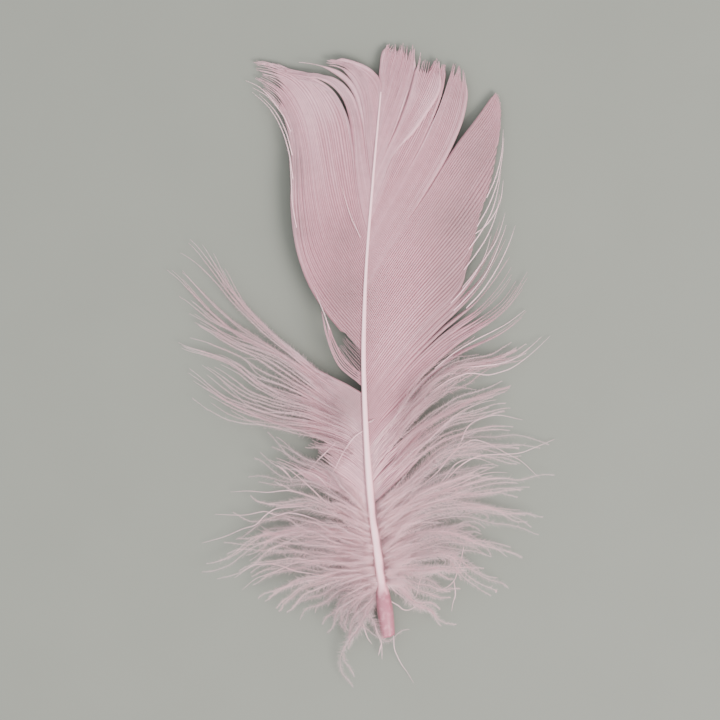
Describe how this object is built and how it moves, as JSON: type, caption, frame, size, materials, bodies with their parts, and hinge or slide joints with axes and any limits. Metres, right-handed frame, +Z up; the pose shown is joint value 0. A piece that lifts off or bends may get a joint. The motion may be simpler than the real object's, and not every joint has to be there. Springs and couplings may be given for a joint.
{
  "type": "feather",
  "caption": "Body feather lying down: hollow quill and slender arched shaft, closed vane split into lobes, a side tuft, loose plumes and radiating down at the base",
  "frame": {"origin": "centre of the bounding box in plan, at the surface the feather lies on", "axes": "+Z up; +Y from the cut end of the quill to the tip; +X to the right of the shaft seen from above with the tip away"},
  "size_m": [0.0696, 0.1102, 0.0053],
  "materials": {
    "shaft": "satin",
    "vane": "matte",
    "down": "matte"
  },
  "bodies": {
    "root": {"feather": "vane"}
  },
  "joints": []
}
